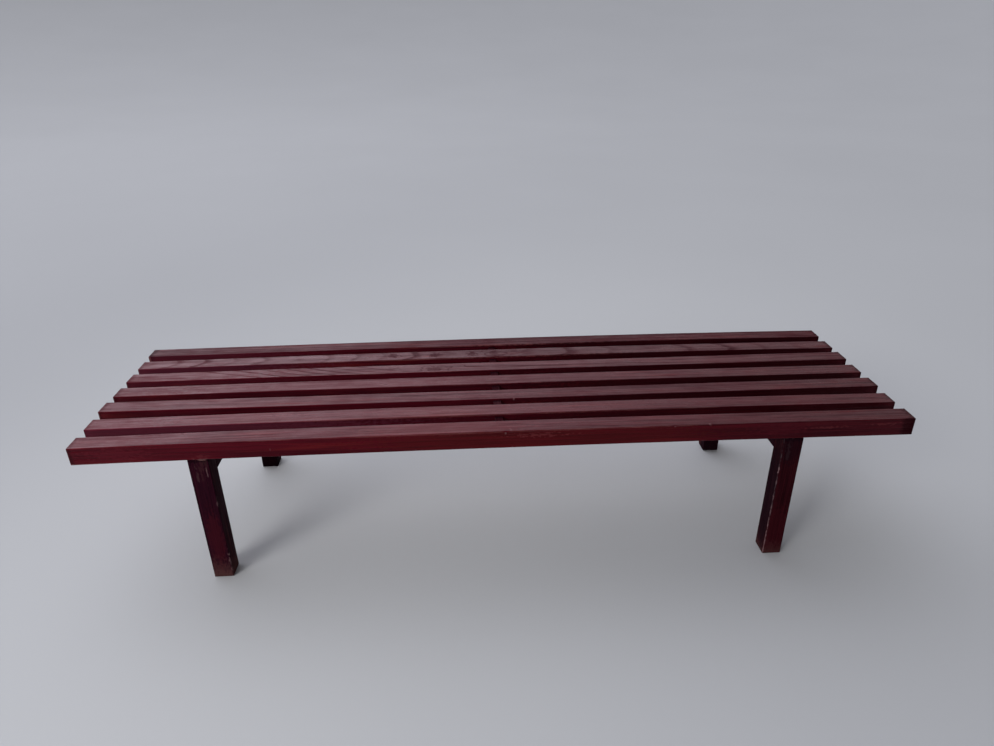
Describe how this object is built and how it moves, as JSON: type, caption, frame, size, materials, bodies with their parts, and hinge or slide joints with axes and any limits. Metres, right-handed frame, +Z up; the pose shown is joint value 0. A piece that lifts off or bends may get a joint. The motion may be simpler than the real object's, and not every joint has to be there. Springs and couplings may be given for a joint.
{
  "type": "slatted bench",
  "caption": "Low slatted wooden bench: long square-edged slats side by side on square legs with cross rails, spaced at mid-length by blocks, in a dark red stained satin finish.",
  "frame": {"origin": "on the floor, under the middle of the bench", "axes": "+X along the slats to the right seen from the front, +Y from front to back, +Z up"},
  "size_m": [1.5, 0.413, 0.3],
  "materials": {
    "seat_wood": "dark burgundy stain, satin",
    "frame_wood": "dark burgundy stain, satin, worn at the edges",
    "spacer_wood": "burgundy stain, dusty and worn",
    "dowel_wood": "plain beech",
    "screw_steel": "plated"
  },
  "bodies": {
    "root": {"seat_slat_1": "seat_wood", "seat_slat_2": "seat_wood", "seat_slat_3": "seat_wood", "seat_slat_4": "seat_wood", "seat_slat_5": "seat_wood", "seat_slat_6": "seat_wood", "seat_slat_7": "seat_wood", "gap_spacer_1": "spacer_wood", "gap_spacer_2": "spacer_wood", "gap_spacer_3": "spacer_wood", "gap_spacer_4": "spacer_wood", "gap_spacer_5": "spacer_wood", "gap_spacer_6": "spacer_wood", "tie_dowel": "dowel_wood", "leg_front_left": "frame_wood", "leg_back_left": "frame_wood", "leg_front_right": "frame_wood", "leg_back_right": "frame_wood", "leg_dowel_front_left_outer": "dowel_wood", "leg_dowel_front_left_inner": "dowel_wood", "leg_dowel_back_left_outer": "dowel_wood", "leg_dowel_back_left_inner": "dowel_wood", "leg_dowel_front_right_outer": "dowel_wood", "leg_dowel_front_right_inner": "dowel_wood", "leg_dowel_back_right_outer": "dowel_wood", "leg_dowel_back_right_inner": "dowel_wood", "cross_rail_left": "frame_wood", "cross_rail_right": "frame_wood", "rail_screw_left_1": "screw_steel", "rail_screw_left_2": "screw_steel", "rail_screw_left_3": "screw_steel", "rail_screw_left_4": "screw_steel", "rail_screw_left_5": "screw_steel", "rail_screw_right_1": "screw_steel", "rail_screw_right_2": "screw_steel", "rail_screw_right_3": "screw_steel", "rail_screw_right_4": "screw_steel", "rail_screw_right_5": "screw_steel"}
  },
  "joints": []
}
